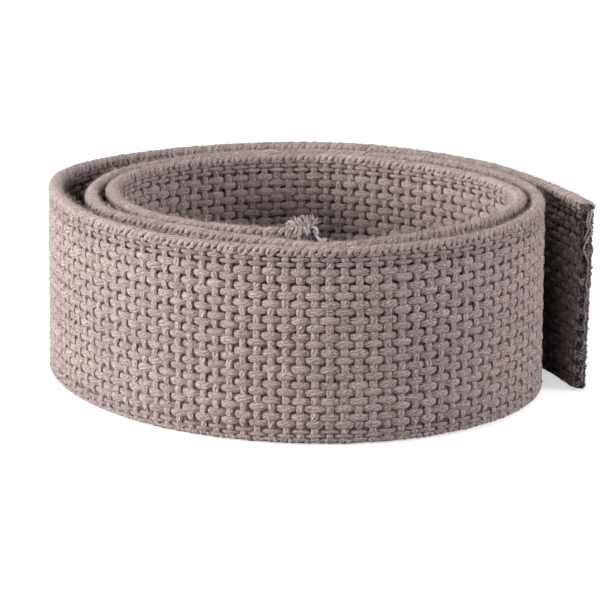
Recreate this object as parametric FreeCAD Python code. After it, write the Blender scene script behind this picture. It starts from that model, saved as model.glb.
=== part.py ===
import FreeCAD, Part
import math
import os

# Gait belt: one length of heavy solid-woven cotton webbing, 50 mm wide, cut square at both ends,
# rolled up loosely and stood on its edge.  Millimetres, +Z up, the edge it stands on at Z = 0.
#
# The webbing is built in its real layers.  A flat layer of stuffer yarns, the core, runs along the
# middle.  A woven ply covers it on the outside of the roll and another on the inside, and a band of
# fine yarns, the selvedge, closes each edge.  The cloth bends everywhere, so the part cuts it into
# stretches: the roll itself, four stretches of the outer tail and two of the inner one, joined by
# hinges that stand upright in the middle of the webbing.
#
# A place along the webbing is named by the direction that it runs in there, in degrees: it starts at
# the outer cut end and turns left all the way, so the direction grows by 360 with each turn.

# ---- driving dimensions: the webbing ----------------------------------------------------------
webbing_width = 50.0          # from edge to edge, so the height of the roll
webbing_thickness = 3.8       # both plies and the core
ply_thickness = 0.9           # one woven face
selvedge_height = 4.0         # the band of fine yarns along each edge
edge_flat = 1.0               # level strip left along the rounded edge

# ---- driving dimensions: the stuffer yarns in the core ----------------------------------------
core_yarn_count = 12
core_yarn_clearance = 0.15    # from a stuffer yarn's end to the ply on each side
core_yarn_stub = 1.2          # how far the cut yarns stand out of the outer end
core_margin = 0.8             # from the first and last yarn to the selvedges

# ---- driving dimensions: the loose and frayed yarns -------------------------------------------
tuft_height = 4.2             # the brush of frayed yarns on the inner end
tuft_base_radius = 1.7
tuft_tip_radius = 1.1
tuft_rounding = 0.5
tuft_setback = 2.4            # from the inner cut end to the middle of the brush
weft_diameter = 0.7           # the weft thread that has sprung from the outer cut end
weft_chord = 13.0
weft_bulge = 1.6
weft_clearance = 0.05

# ---- driving dimensions: the hinges -----------------------------------------------------------
hinge_swing = 30.0            # how far one stretch swings away from the next, in degrees
hinge_clearance = 0.4         # left between the two cut faces at full swing

# ---- the roll: each stretch is an arc, (radius of a roll of no thickness, degrees turned) ------
# An arc's real radius is that radius and the thickness of every turn that lies inside it.
start_direction = 108.0
end_direction = 1080.0
tail_arcs = ((185.0, 12.0), (53.0, 18.0), (88.0, 12.0), (45.0, 30.0))
eighth_turn = 45.0
sixteenth_turn = 22.5
outer_turn = (68.0, 22.0, 70.0, 59.0, 47.0, 47.0, 47.0, 57.0)
middle_turn = (54.0, 56.0, 29.0, 49.0, 40.0, 21.0, 134.0, 13.0,
               14.0, 83.0, 57.0, 25.0, 31.0, 48.0, 84.0, 38.0)
inner_half_turn = (53.0, 30.0, 43.0, 49.0)

# ---- where the webbing is cut into stretches ---------------------------------------------------
tail_hinges = (270.0, 225.0, 180.0, 138.0)
inner_hinges = (990.0, 1035.0)
coil_splits = (510.0, 750.0)  # the roll's own three stretches meet here, face to face

# ---- worked out from the sizes above -----------------------------------------------------------
half_thickness = webbing_thickness / 2
core_half = half_thickness - ply_thickness
edge_rounding = half_thickness - edge_flat / 2
hinge_gap = webbing_thickness * math.tan(math.radians(hinge_swing / 2)) + hinge_clearance
core_yarn_radius = core_half - core_yarn_clearance

UP = FreeCAD.Vector(0, 0, 1)
FULL_TURN = 360.0


class Arc:
    """One stretch of the webbing's centre line, turning left about a centre."""

    def __init__(self, centre, radius, first, last):
        self.centre = centre
        self.radius = radius
        self.first = first
        self.last = last

    def point(self, direction):
        """The centre line's point where it runs in this direction."""
        return self.centre + outward(direction) * self.radius


def along(direction):
    """Unit vector along the webbing, towards the inner end."""
    angle = math.radians(direction)
    return FreeCAD.Vector(math.cos(angle), math.sin(angle), 0)


def outward(direction):
    """Unit vector across the webbing, out of the roll."""
    angle = math.radians(direction)
    return FreeCAD.Vector(math.sin(angle), -math.cos(angle), 0)


def turns_inside(direction):
    """How many thicknesses of webbing lie between this stretch and the innermost one."""
    return (end_direction - direction) / FULL_TURN


def all_stretches():
    """Every (loose radius, degrees turned), from the outer cut end to the inner one."""
    outer = tuple((radius, eighth_turn) for radius in outer_turn)
    middle = tuple((radius, sixteenth_turn) for radius in middle_turn)
    inner = tuple((radius, eighth_turn) for radius in inner_half_turn)
    return tail_arcs + outer + middle + inner


def centre_line():
    """The webbing's centre line as arcs that meet without a corner, first end at the origin."""
    arcs = []
    point = FreeCAD.Vector(0, 0, 0)
    direction = start_direction
    for loose_radius, sweep in all_stretches():
        radius = loose_radius + turns_inside(direction) * webbing_thickness
        arc = Arc(point - outward(direction) * radius, radius, direction, direction + sweep)
        arcs.append(arc)
        direction = arc.last
        point = arc.point(direction)
    return arcs


def plan_limits(arcs):
    """Lowest and highest X and Y of the webbing seen from above."""
    points = []
    for arc in arcs:
        directions = [arc.first, arc.last]
        quarter = math.ceil(arc.first / 90.0) * 90.0
        while quarter < arc.last:
            directions.append(quarter)
            quarter += 90.0
        for direction in directions:
            for side in (-half_thickness, half_thickness):
                points.append(arc.point(direction) + outward(direction) * side)
    xs = [point.x for point in points]
    ys = [point.y for point in points]
    return min(xs), max(xs), min(ys), max(ys)


def centred_line():
    """The centre line, moved so that the middle of the roll's outline is over the origin."""
    arcs = centre_line()
    low_x, high_x, low_y, high_y = plan_limits(arcs)
    shift = FreeCAD.Vector(-(low_x + high_x) / 2, -(low_y + high_y) / 2, 0)
    return [Arc(arc.centre + shift, arc.radius, arc.first, arc.last) for arc in arcs]


def arc_at(direction, before):
    """The arc that holds this direction: where two meet, the one before or the one after."""
    for arc in line:
        inside = arc.first < direction <= arc.last if before else arc.first <= direction < arc.last
        if inside:
            return arc
    return line[0] if direction <= start_direction else line[-1]


def cut_before(direction):
    """The direction at which a stretch ends short of the hinge here."""
    return direction - math.degrees(hinge_gap / 2 / arc_at(direction, True).radius)


def cut_after(direction):
    """The direction at which a stretch starts beyond the hinge here."""
    return direction + math.degrees(hinge_gap / 2 / arc_at(direction, False).radius)


# ---- sections: closed outlines of (across, up) points, across measured out of the roll ----------
def rectangle(inner, outer, low, high):
    """Outline of a plain layer."""
    corners = ((inner, low), (outer, low), (outer, high), (inner, high))
    points = [FreeCAD.Vector(across, 0, up) for across, up in corners]
    return Part.makePolygon(points + points[:1])


def bottom_selvedge_section():
    """Outline of the lower edge: level strip, two quarter rounds, flat top."""
    flat = edge_flat / 2
    middle = edge_rounding * (1 - math.sqrt(0.5))
    side = half_thickness
    corners = {
        "inner_top": (-side, selvedge_height),
        "inner_side": (-side, edge_rounding),
        "inner_mid": (-side + middle, middle),
        "inner_foot": (-flat, 0),
        "outer_foot": (flat, 0),
        "outer_mid": (side - middle, middle),
        "outer_side": (side, edge_rounding),
        "outer_top": (side, selvedge_height),
    }
    at = {name: FreeCAD.Vector(across, 0, up) for name, (across, up) in corners.items()}
    edges = [
        Part.makeLine(at["inner_top"], at["inner_side"]),
        Part.Arc(at["inner_side"], at["inner_mid"], at["inner_foot"]).toShape(),
        Part.makeLine(at["inner_foot"], at["outer_foot"]),
        Part.Arc(at["outer_foot"], at["outer_mid"], at["outer_side"]).toShape(),
        Part.makeLine(at["outer_side"], at["outer_top"]),
        Part.makeLine(at["outer_top"], at["inner_top"]),
    ]
    return Part.Wire(edges)


def top_selvedge_section():
    """Outline of the upper edge: the lower one turned over."""
    middle = FreeCAD.Vector(0, 0, webbing_width / 2)
    return bottom_selvedge_section().mirror(middle, UP)


def layer_sections():
    """The webbing's layers, name to outline."""
    low = selvedge_height
    high = webbing_width - selvedge_height
    return {
        "outer_ply": rectangle(core_half, half_thickness, low, high),
        "inner_ply": rectangle(-half_thickness, -core_half, low, high),
        "core": rectangle(-core_half, core_half, low, high),
        "bottom_selvedge": bottom_selvedge_section(),
        "top_selvedge": top_selvedge_section(),
    }


# ---- solids ------------------------------------------------------------------------------------
def sector(arc, outline, first, last):
    """One outline carried round one arc, between two directions."""
    face = Part.Face(outline.copy())
    face.rotate(FreeCAD.Vector(0, 0, 0), UP, first - 90.0)
    face.translate(arc.point(first))
    return face.revolve(arc.centre, UP, last - first)


def strip(outline, first, last):
    """One outline carried along the webbing, between two directions, as one solid."""
    sectors = []
    for arc in line:
        low = max(first, arc.first)
        high = min(last, arc.last)
        if high > low:
            sectors.append(sector(arc, outline, low, high))
    if len(sectors) == 1:
        return sectors[0]
    return sectors[0].multiFuse(sectors[1:]).removeSplitter().Solids[0]


def stretches():
    """Every stretch of webbing, name to the two directions that it runs between."""
    spans = {}
    outer_end = start_direction
    count = len(tail_hinges)
    for index, hinge in enumerate(reversed(tail_hinges)):
        spans[f"tail_{count - index}"] = (outer_end, cut_before(hinge))
        outer_end = cut_after(hinge)
    coil_cuts = (outer_end,) + coil_splits + (cut_before(inner_hinges[0]),)
    for name, first, last in zip(("outer", "middle", "inner"), coil_cuts, coil_cuts[1:]):
        spans[f"coil_{name}"] = (first, last)
    ends = [cut_before(hinge) for hinge in inner_hinges[1:]] + [end_direction]
    for index, (hinge, end) in enumerate(zip(inner_hinges, ends)):
        spans[f"inner_{index + 1}"] = (cut_after(hinge), end)
    return spans


def core_yarn_heights():
    """The height of each stuffer yarn's middle."""
    low = selvedge_height + core_margin + core_yarn_radius
    high = webbing_width - low
    step = (high - low) / (core_yarn_count - 1)
    return [low + step * index for index in range(core_yarn_count)]


def core_yarn_ends():
    """The cut ends of the stuffer yarns, standing out of the webbing's outer end."""
    end = line[0].point(start_direction)
    away = along(start_direction) * -1
    solids = {}
    for index, height in enumerate(core_yarn_heights()):
        base = end + UP * height
        stub = Part.makeCylinder(core_yarn_radius, core_yarn_stub, base, away)
        solids[f"core_yarn_end_{index + 1:02d}"] = stub
    return solids


def loose_weft():
    """A weft thread that has sprung from the outer cut end, bowed along the inner ply."""
    radius = (weft_chord ** 2 / 4 + weft_bulge ** 2) / (2 * weft_bulge)
    half_angle = math.degrees(math.asin(weft_chord / 2 / radius))
    away = along(start_direction) * -1
    across = outward(start_direction)
    lane = across * -(half_thickness - ply_thickness / 2)
    standoff = weft_diameter / 2 + weft_clearance + weft_bulge - radius
    height = webbing_width - selvedge_height - weft_chord / 2
    middle = line[0].point(start_direction) + lane + away * standoff + UP * height
    start = FreeCAD.Rotation(across, half_angle).multVec(away)
    circle = Part.Circle(middle + start * radius, across.cross(start), weft_diameter / 2)
    face = Part.Face(Part.Wire(circle.toShape()))
    return face.revolve(middle, across, -2 * half_angle)


def frayed_tuft():
    """The brush of frayed yarns that stands on the inner end's top edge."""
    last = line[-1]
    direction = end_direction - math.degrees(tuft_setback / last.radius)
    base = last.point(direction) + UP * webbing_width
    cone = Part.makeCone(tuft_base_radius, tuft_tip_radius, tuft_height, base, UP)
    tip = max(cone.Edges, key=lambda edge: edge.CenterOfMass.z)
    return cone.makeFillet(tuft_rounding, [tip])


def build_nodes():
    """Every node of the part, name to solid."""
    nodes = {}
    sections = layer_sections()
    for stretch, (first, last) in stretches().items():
        for layer, outline in sections.items():
            nodes[f"{stretch}_{layer}"] = strip(outline, first, last)
    nodes.update(core_yarn_ends())
    nodes["loose_weft"] = loose_weft()
    nodes["frayed_tuft"] = frayed_tuft()
    return nodes


line = centred_line()


def main():
    """Write one STEP file per node and print what the record needs."""
    os.makedirs("parts", exist_ok=True)
    for name, shape in build_nodes().items():
        shape.exportStep(os.path.join("parts", name + ".step"))
        print(f"{name:28s} solids {len(shape.Solids)} valid {shape.isValid()} {shape.Volume:9.1f} mm3")
    length = sum(math.radians(arc.last - arc.first) * arc.radius for arc in line)
    print(f"webbing length {length:.1f} mm, outline {plan_limits(line)}")
    for hinge in tail_hinges + inner_hinges:
        point = arc_at(hinge, True).point(hinge)
        print(f"hinge {hinge:.0f}: {point.x:.4f} {point.y:.4f}")


main()
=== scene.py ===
import logging
import math
from dataclasses import dataclass, field
from enum import Enum
from typing import Sequence

import bpy
import numpy as np
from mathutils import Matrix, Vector


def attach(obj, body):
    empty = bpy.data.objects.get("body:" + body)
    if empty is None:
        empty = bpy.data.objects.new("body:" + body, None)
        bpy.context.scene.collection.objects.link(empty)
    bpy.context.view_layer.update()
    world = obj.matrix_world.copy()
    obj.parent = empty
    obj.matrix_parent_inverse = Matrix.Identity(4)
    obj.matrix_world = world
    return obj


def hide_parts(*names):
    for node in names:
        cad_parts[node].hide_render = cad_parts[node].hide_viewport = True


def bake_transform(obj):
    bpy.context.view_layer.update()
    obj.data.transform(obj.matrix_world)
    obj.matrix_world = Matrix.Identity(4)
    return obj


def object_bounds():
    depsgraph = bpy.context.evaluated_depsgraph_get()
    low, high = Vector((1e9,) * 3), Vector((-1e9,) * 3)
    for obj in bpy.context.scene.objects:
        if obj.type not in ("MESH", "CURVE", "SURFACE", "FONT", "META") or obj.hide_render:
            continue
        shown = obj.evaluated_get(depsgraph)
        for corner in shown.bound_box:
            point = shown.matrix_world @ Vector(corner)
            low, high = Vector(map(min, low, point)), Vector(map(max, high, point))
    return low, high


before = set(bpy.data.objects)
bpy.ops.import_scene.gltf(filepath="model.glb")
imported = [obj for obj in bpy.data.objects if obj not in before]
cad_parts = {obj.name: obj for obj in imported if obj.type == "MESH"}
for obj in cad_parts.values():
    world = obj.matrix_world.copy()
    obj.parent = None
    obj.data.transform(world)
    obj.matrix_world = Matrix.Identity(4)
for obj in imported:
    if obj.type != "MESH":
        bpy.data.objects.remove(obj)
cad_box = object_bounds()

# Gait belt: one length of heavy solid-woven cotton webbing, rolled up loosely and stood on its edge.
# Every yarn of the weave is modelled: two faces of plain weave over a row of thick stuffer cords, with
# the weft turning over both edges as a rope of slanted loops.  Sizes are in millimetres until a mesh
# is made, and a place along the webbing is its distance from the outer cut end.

LOG = logging.getLogger("gait_belt")
MM = 0.001
WEBBING_WIDTH = 50.0
OUTER_END_DIRECTION = 108.0
INNER_END_DIRECTION = 1080.0
SELVEDGE = 4.0
CORD_MARGIN = 0.8
CORD_COUNT = 12
WHOLE_ROUND = (0.0, 360.0)
HALF_ROUND = (0.0, 180.0)
YARN_ROUND = (-28.0, 208.0)
LOOP_ROUND = (-35.0, 215.0)
WHITE = (1.0, 1.0, 1.0, 1.0)
Array = np.ndarray


class Face(Enum):
    """The side of the webbing that a ply is on, as the sign of its distance out of the roll."""

    OUTER = 1
    INNER = -1


class Edge(Enum):
    """The edge of the webbing: the one it stands on, or the one on top."""

    BOTTOM = -1
    TOP = 1


class Chance:
    """Single numbers from a shared random source."""

    rng: np.random.Generator

    def even(self, low: float, high: float) -> float:
        """A number from anywhere between two."""
        return float(self.rng.uniform(low, high))

    def near(self, middle: float, spread: float) -> float:
        """A number from round a middle one."""
        return float(self.rng.normal(middle, spread))


def unit(vectors: Array, least: float = 0.0) -> Array:
    """The vectors made one long, with least added to each length so that none divides by nothing."""
    return vectors / (np.linalg.norm(vectors, axis=-1, keepdims=True) + least)


def upright(points: Array) -> Array:
    """A unit vector straight up for each point."""
    up = np.zeros_like(points)
    up[..., 2] = 1.0
    return up


def show(name: str, data: bpy.types.ID) -> bpy.types.Object:
    """Put a new object with this data into the scene."""
    shown = bpy.data.objects.new(name, data)
    bpy.context.scene.collection.objects.link(shown)
    return shown


# ---- the roll's path ----------------------------------------------------------------------------
@dataclass
class RollPath:
    """The webbing's centre line, a chain of arcs that turn left, as the frame has it."""

    thickness: float = 3.8
    start_direction: float = OUTER_END_DIRECTION
    end_direction: float = INNER_END_DIRECTION
    tail_arcs: tuple = ((185.0, 12.0), (53.0, 18.0), (88.0, 12.0), (45.0, 30.0))
    outer_turn: tuple = (68.0, 22.0, 70.0, 59.0, 47.0, 47.0, 47.0, 57.0)
    middle_turn: tuple = (54.0, 56.0, 29.0, 49.0, 40.0, 21.0, 134.0, 13.0,
                          14.0, 83.0, 57.0, 25.0, 31.0, 48.0, 84.0, 38.0)
    inner_half_turn: tuple = (53.0, 30.0, 43.0, 49.0)
    eighth_turn: float = 45.0
    sixteenth_turn: float = 22.5
    width: float = WEBBING_WIDTH
    outline_steps: int = 40001
    top_lean: tuple = ((108.0, 0.5), (114.0, 0.2), (140.0, 0.0), (960.0, 0.0), (1010.0, 0.9),
                       (1050.0, 2.1), (1080.0, 2.8))
    foot_lean: tuple = ((108.0, -1.1), (113.0, -0.5), (125.0, 0.0), (215.0, 0.2), (262.0, 0.9), (292.0, 0.1),
                        (310.0, -0.5), (390.0, -0.6), (430.0, 0.0), (1080.0, 0.0))
    starts: Array = field(init=False)
    centres: Array = field(init=False)
    radii: Array = field(init=False)
    directions: Array = field(init=False)

    def __post_init__(self) -> None:
        """Lay the arcs end to end and move them so that their outline is centred."""
        outer = tuple((radius, self.eighth_turn) for radius in self.outer_turn)
        middle = tuple((radius, self.sixteenth_turn) for radius in self.middle_turn)
        inner = tuple((radius, self.eighth_turn) for radius in self.inner_half_turn)
        stretches = self.tail_arcs + outer + middle + inner
        starts, centres, radii, directions = [0.0], [], [], [self.start_direction]
        point = np.zeros(2)
        for loose_radius, sweep in stretches:
            first = directions[-1]
            radius = loose_radius + (self.end_direction - first) / 360.0 * self.thickness
            centre = point - self.outward(first) * radius
            point = centre + self.outward(first + sweep) * radius
            centres.append(centre)
            radii.append(radius)
            starts.append(starts[-1] + math.radians(sweep) * radius)
            directions.append(first + sweep)
        self.starts = np.array(starts)
        self.centres = np.array(centres)
        self.radii = np.array(radii)
        self.directions = np.array(directions)
        low, high = self.outline()
        self.centres = self.centres - (low + high) / 2

    @staticmethod
    def outward(direction: float | Array) -> Array:
        """Unit vector in plan, across the webbing and out of the roll, for a direction in degrees."""
        angle = np.radians(direction)
        return np.stack([np.sin(angle), -np.cos(angle)], axis=-1)

    @property
    def length(self) -> float:
        """The whole length of the webbing."""
        return float(self.starts[-1])

    def outline(self) -> tuple[Array, Array]:
        """Lowest and highest corner of the roll in plan."""
        points, directions = self.place(np.linspace(0.0, self.length, self.outline_steps))
        out = self.outward(directions) * self.thickness / 2
        both = np.concatenate([points + out, points - out])
        return both.min(axis=0), both.max(axis=0)

    def direction_at(self, along: Array) -> Array:
        """Direction in degrees at these distances, straight on beyond both ends."""
        return np.interp(along, self.starts, self.directions)

    def place(self, along: Array) -> tuple[Array, Array]:
        """Where the centre line is.

        Args:
            along: Distances from the outer cut end.

        Returns:
            The points in plan, and the directions there in degrees.
        """
        along = np.asarray(along, dtype=float)
        inside = np.clip(along, 0.0, self.length)
        index = np.clip(np.searchsorted(self.starts, inside, side="right") - 1, 0, len(self.radii) - 1)
        directions = self.direction_at(inside)
        points = self.centres[index] + self.outward(directions) * self.radii[index][..., None]
        angle = np.radians(directions)
        forward = np.stack([np.cos(angle), np.sin(angle)], axis=-1)
        return points + forward * (along - inside)[..., None], directions

    def distance_of(self, direction: float) -> float:
        """Distance from the outer cut end at which the webbing runs in this direction."""
        return float(np.interp(direction, self.directions, self.starts))

    def lean(self, directions: Array, up: Array) -> Array:
        """How far the wall of the roll leans out at these heights, in millimetres."""
        top = np.interp(directions, *np.transpose(self.top_lean))
        foot = np.interp(directions, *np.transpose(self.foot_lean))
        share = np.clip(up / self.width, 0.0, 1.0)
        return foot + (top - foot) * share

    def carry(self, along: Array, across: Array, up: Array) -> Array:
        """Points given along, across and up the webbing, in the frame's own axes."""
        points, directions = self.place(along)
        across = across + self.lean(directions, up)
        flat = points + self.outward(directions) * np.asarray(across)[..., None]
        height = np.broadcast_to(up, flat.shape[:-1])
        return np.concatenate([flat, height[..., None]], axis=-1)

    def out_vectors(self, along: Array) -> Array:
        """Unit vectors out of the roll at these distances, in three dimensions."""
        flat = self.outward(self.direction_at(along))
        return np.concatenate([flat, np.zeros(flat.shape[:-1] + (1,))], axis=-1)

    def forward_vectors(self, along: Array) -> Array:
        """Unit vectors along the webbing at these distances, in three dimensions."""
        angle = np.radians(self.direction_at(along))
        return np.stack([np.cos(angle), np.sin(angle), np.zeros_like(angle)], axis=-1)


# ---- spans: the stretch of webbing that one set of meshes covers --------------------------------
@dataclass(frozen=True)
class Span:
    """A stretch of webbing whose pieces ride one body, or which crosses one hinge."""

    name: str
    first: int
    last: int
    bodies: tuple
    hinge: float | None = None
    reach: float = 12.0

    def attach(self, piece: bpy.types.Object) -> None:
        """Make a piece follow this span's first body, or, if the span crosses a hinge, only bake its place
        into its mesh.

        Args:
            piece: The finished mesh object.
        """
        if self.hinge is None:
            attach(piece, self.bodies[0])
            return
        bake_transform(piece)


# ---- meshes made of yarns -----------------------------------------------------------------------
@dataclass
class Sheaf:
    """Yarns gathered into one mesh, each a strip of quads round its own path."""

    name: str
    points: list = field(default_factory=list)
    quads: list = field(default_factory=list)
    yarn_uv: list = field(default_factory=list)
    sheet_uv: list = field(default_factory=list)
    shade: list = field(default_factory=list)
    painted_shade_lift: list = field(default_factory=list)
    slots: list = field(default_factory=list)
    filled: float = 0.0
    count: int = 0
    sheet_width: float = 110.0
    strip_gap: float = 0.3
    start_step: float = 7.31
    start_range: float = 50.0
    rng: np.random.Generator = field(default_factory=lambda: np.random.default_rng(7))

    def add(self, path: Array, side: Array, out: Array, half_width: Array, half_depth: Array,
            turn: tuple[float, float], sides: int, shade: Array, painted_shade_lift: Array, slot: int = 0,
            along: Array | None = None, lumps: float = 0.0) -> None:
        """Add yarns that all have the same number of points.

        Args:
            path: Points of each yarn, (yarns, points, 3), in millimetres.
            side: Unit vectors across each yarn's width, same shape.
            out: Unit vectors across its depth, same shape.
            half_width: Half of its width at each point.
            half_depth: Half of its depth at each point.
            turn: First and last angle of its section in degrees, from side towards out.
            sides: Quads round the section.
            shade: Lightness of each point, around 0.
            painted_shade_lift: How far each point stands on top of the weave, 0 to 1; the lower it stands,
                the more painted shade the material gives it.
            slot: Material slot.
            along: Distance along the yarn at each point, if not worked out from its path.
            lumps: Share of its thickness that its surface is uneven by.
        """
        yarns, length = path.shape[:2]
        angle = np.radians(np.linspace(turn[0], turn[1], sides + 1))
        ring = (side[:, :, None] * (half_width[..., None] * np.cos(angle))[..., None]
                + out[:, :, None] * (half_depth[..., None] * np.sin(angle))[..., None])
        if lumps:
            ring = ring * (1.0 + lumps * self.rng.normal(0.0, 1.0, ring.shape[:3]).clip(-2.0, 2.0))[..., None]
        vertices = path[:, :, None] + ring
        vertices[..., 2] = np.maximum(vertices[..., 2], 0.0)
        index = np.arange(yarns * length * (sides + 1)).reshape(yarns, length, sides + 1) + self.count
        quads = np.stack([index[:, :-1, :-1], index[:, 1:, :-1], index[:, 1:, 1:], index[:, :-1, 1:]], -1)
        if along is None:
            steps = np.linalg.norm(np.diff(path, axis=1), axis=-1)
            along = np.concatenate([np.zeros((yarns, 1)), np.cumsum(steps, axis=1)], axis=1)
        round_it = np.broadcast_to(angle / (2 * math.pi), vertices.shape[:3])
        start = np.arange(yarns)[:, None, None] * self.start_step % self.start_range
        run = np.broadcast_to(along[..., None] + start, vertices.shape[:3])
        self.points.append(vertices.reshape(-1, 3))
        self.quads.append(quads.reshape(-1, 4))
        self.yarn_uv.append(np.stack([run, round_it], -1).reshape(-1, 2))
        self.sheet_uv.append(self.unroll(along, angle, half_width, vertices.shape[:3]))
        self.shade.append(np.broadcast_to(shade[..., None], vertices.shape[:3]).ravel())
        self.painted_shade_lift.append(np.broadcast_to(painted_shade_lift[..., None], vertices.shape[:3]).ravel())
        self.slots.append(np.full(quads.size // 4, slot))
        self.count += vertices.size // 3

    def unroll(self, along: Array, angle: Array, half_width: Array, shape: tuple) -> Array:
        """Lay the yarns' surfaces side by side on a flat sheet, none over another.

        Args:
            along: Distance along each yarn.
            angle: Angles of the section in radians.
            half_width: Half of each yarn's width, for the height of its strip.
            shape: (yarns, points, angles).

        Returns:
            One flat point for each vertex, in millimetres.
        """
        run = along - along.min(axis=1, keepdims=True)
        longest = max(float(run.max()), 1.0)
        height = float(half_width.max()) * (angle[-1] - angle[0]) + 2 * self.strip_gap
        columns = max(1, int(self.sheet_width // (longest + 1.0)))
        yarn = np.arange(shape[0])
        left = (yarn % columns) * (longest + 1.0)
        low = self.filled + (yarn // columns) * height
        share = (angle - angle[0]) / (angle[-1] - angle[0])
        flat = np.empty(shape + (2,))
        flat[..., 0] = (left[:, None] + run)[..., None]
        flat[..., 1] = low[:, None, None] + self.strip_gap + share * (height - 2 * self.strip_gap)
        self.filled += math.ceil(shape[0] / columns) * height
        self.sheet_width = max(self.sheet_width, longest + 2.0)
        return flat.reshape(-1, 2)

    def build(self, finishes: Sequence[bpy.types.Material]) -> bpy.types.Object:
        """Make the mesh object.

        Args:
            finishes: Its materials, in slot order.

        Returns:
            The new object, in metres.
        """
        points = np.concatenate(self.points) * MM
        quads = np.concatenate(self.quads).astype(np.int32)
        mesh = bpy.data.meshes.new(self.name)
        mesh.vertices.add(len(points))
        mesh.vertices.foreach_set("co", points.astype(np.float32).ravel())
        mesh.loops.add(quads.size)
        mesh.loops.foreach_set("vertex_index", quads.ravel())
        mesh.polygons.add(len(quads))
        mesh.polygons.foreach_set("loop_start", np.arange(0, quads.size, 4, dtype=np.int32))
        mesh.polygons.foreach_set("material_index", np.concatenate(self.slots).astype(np.int32))
        mesh.polygons.foreach_set("use_smooth", np.ones(len(quads), dtype=bool))
        mesh.update(calc_edges=True)
        sheet = np.concatenate(self.sheet_uv) / np.array([self.sheet_width, max(self.filled, 1.0)])
        layers = (("OFBake", sheet), ("yarn", np.concatenate(self.yarn_uv)))
        for name, values in layers:
            layer = mesh.uv_layers.new(name=name)
            layer.data.foreach_set("uv", values[quads.ravel()].astype(np.float32).ravel())
        # The second attribute is the height that the materials turn into painted shade.
        for name, values in (("shade", self.shade), ("painted_shade_lift", self.painted_shade_lift)):
            attribute = mesh.attributes.new(name, "FLOAT", "POINT")
            attribute.data.foreach_set("value", np.concatenate(values).astype(np.float32))
        for finish in finishes:
            mesh.materials.append(finish)
        return show(self.name, mesh)


# ---- node groups and finishes -------------------------------------------------------------------
class NodeSheet:
    """Short calls for laying out a node tree."""

    def __init__(self, tree: bpy.types.NodeTree) -> None:
        """Work on this tree."""
        self.tree = tree
        self.placed = 0

    def node(self, kind: str, **settings: object) -> bpy.types.Node:
        """Add a node and set its properties.

        Args:
            kind: Node type.
            settings: Property names and values.

        Returns:
            The node.
        """
        node = self.tree.nodes.new(kind)
        node.location = (self.placed % 8 * 190 - 900, 400 - self.placed // 8 * 240)
        self.placed += 1
        for key, value in settings.items():
            setattr(node, key, value)
        return node

    def feed(self, node: bpy.types.Node, **inputs: object) -> bpy.types.Node:
        """Set a node's inputs, each a plain value or the output that drives it.

        Args:
            node: The node.
            inputs: Input names, with _ for a space, or i0, i1 for an input by number.

        Returns:
            The same node.
        """
        for key, value in inputs.items():
            socket = node.inputs[int(key[1:])] if key[1:].isdigit() else node.inputs[key.replace("_", " ")]
            if isinstance(value, bpy.types.NodeSocket):
                self.tree.links.new(value, socket)
            else:
                socket.default_value = value
        return node

    def math(self, operation: str, *values: object) -> bpy.types.NodeSocket:
        """A Math node's result, for these values or outputs."""
        node = self.node("ShaderNodeMath", operation=operation)
        self.feed(node, **{f"i{index}": value for index, value in enumerate(values)})
        return node.outputs[0]

    def mix(self, share: object, first: object, second: object, blend: str = "MIX") -> bpy.types.NodeSocket:
        """A colour mixed from two, each a colour or an output."""
        node = self.node("ShaderNodeMix", data_type="RGBA", blend_type=blend)
        self.feed(node, i0=share, i6=first, i7=second)
        return node.outputs[2]

    def add(self, first: object, *others: object) -> bpy.types.NodeSocket:
        """The sum of values or outputs."""
        for other in others:
            first = self.math("ADD", first, other)
        return first

    def point(self, x: object, y: object, z: float = 0.0) -> bpy.types.NodeSocket:
        """A place made of three values or outputs."""
        return self.feed(self.node("ShaderNodeCombineXYZ"), X=x, Y=y, Z=z).outputs[0]

    def noise(self, dimensions: str, **inputs: object) -> bpy.types.NodeSocket:
        """A noise texture's value, for its inputs by name."""
        return self.feed(self.node("ShaderNodeTexNoise", noise_dimensions=dimensions), **inputs).outputs[0]

    def spread(self, value: object, low: float, high: float, to_low: float, to_high: float,
               ) -> bpy.types.NodeSocket:
        """A value moved from one range to another, and held inside it."""
        node = self.node("ShaderNodeMapRange")
        self.feed(node, i0=value, i1=low, i2=high, i3=to_low, i4=to_high)
        return node.outputs[0]


def new_material(name: str) -> tuple[bpy.types.Material, NodeSheet, bpy.types.Node]:
    """Start a material: the material, a sheet to lay it out on, and its Principled shader."""
    material = bpy.data.materials.new(name)
    material.use_nodes = True
    return material, NodeSheet(material.node_tree), material.node_tree.nodes["Principled BSDF"]


def new_group(name: str, inputs: dict[str, float], outputs: Sequence[str],
              ) -> tuple[bpy.types.NodeTree, NodeSheet, dict, bpy.types.Node]:
    """Start a shader node group with named number sockets.

    Args:
        name: The group's name.
        inputs: Input names and their usual values.
        outputs: Output names.

    Returns:
        The tree, a sheet to lay it out on, its inputs' outputs by name, and its output node.
    """
    tree = bpy.data.node_groups.new(name, "ShaderNodeTree")
    for key, value in inputs.items():
        socket = tree.interface.new_socket(name=key, in_out="INPUT", socket_type="NodeSocketFloat")
        socket.default_value = value
    for key in outputs:
        tree.interface.new_socket(name=key, in_out="OUTPUT", socket_type="NodeSocketFloat")
    sheet = NodeSheet(tree)
    given = sheet.node("NodeGroupInput").outputs
    return tree, sheet, {key: given[key] for key in inputs}, sheet.node("NodeGroupOutput")


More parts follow.
